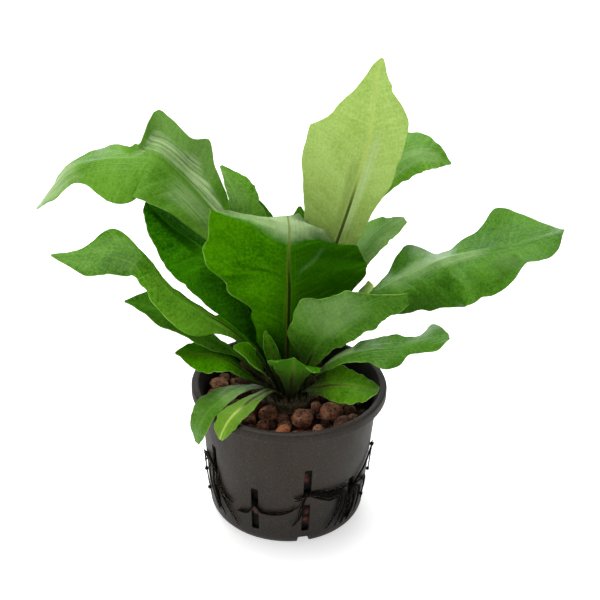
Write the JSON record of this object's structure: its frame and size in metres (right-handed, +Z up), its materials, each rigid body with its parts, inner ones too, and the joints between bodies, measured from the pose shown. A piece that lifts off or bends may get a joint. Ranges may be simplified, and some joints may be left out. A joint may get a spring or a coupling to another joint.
{
  "type": "potted birds nest fern",
  "caption": "Rosette of waved strap-shaped fronds on a scaly crown, in a slotted round pot filled with clay pellets.",
  "frame": {"origin": "centre of the pot's flat underside", "axes": "+Z up; -Y is the side that the picture shows; the longest fronds reach out along -X and +X"},
  "size_m": [0.4006, 0.1833, 0.3483],
  "materials": {
    "pot": "matte dark grey-brown",
    "pellets": "baked clay, rough",
    "crown": "dark scales, rough",
    "roots": "dark, fuzzy",
    "leaf_young": "yellow-green, soft gloss",
    "leaf_light": "light green, soft gloss",
    "leaf_middle": "mid green, soft gloss",
    "leaf_deep": "deep green, soft gloss",
    "leaf_dark": "dark green, soft gloss"
  },
  "bodies": {
    "root": {"culture_pot": "pot", "clay_pellets": "pellets", "crown": "crown", "roots_front_right": "roots", "roots_right": "roots", "roots_left": "roots", "roots_front_left": "roots", "roots_back": "roots", "frond_01_long_left": "leaf_light", "frond_02_upright_back_left": "leaf_middle", "frond_03_upright_back": "leaf_middle", "frond_04_tallest_young": "leaf_young", "frond_05_back_right": "leaf_light", "frond_06_low_back_right": "leaf_light", "frond_07_long_right": "leaf_middle", "frond_08_broad_centre": "leaf_deep", "frond_09_dark_left": "leaf_dark", "frond_10_short_inner": "leaf_deep", "frond_11_twisted_left": "leaf_middle", "frond_12_under_left": "leaf_middle", "frond_13_low_left": "leaf_deep", "frond_14_drooping_front_left": "leaf_light", "frond_15_drooping_front": "leaf_young", "frond_16_round_front_right": "leaf_deep", "frond_17_low_right": "leaf_middle", "frond_18_cupped_right": "leaf_middle", "frond_19_short_front": "leaf_deep", "frond_20_short_left": "leaf_deep", "frond_21_curled_young": "leaf_young", "frond_22_narrow_back": "leaf_middle", "frond_23_low_back_right": "leaf_deep", "frond_24_low_back": "leaf_middle", "frond_25_low_back_left": "leaf_deep"}
  },
  "joints": []
}
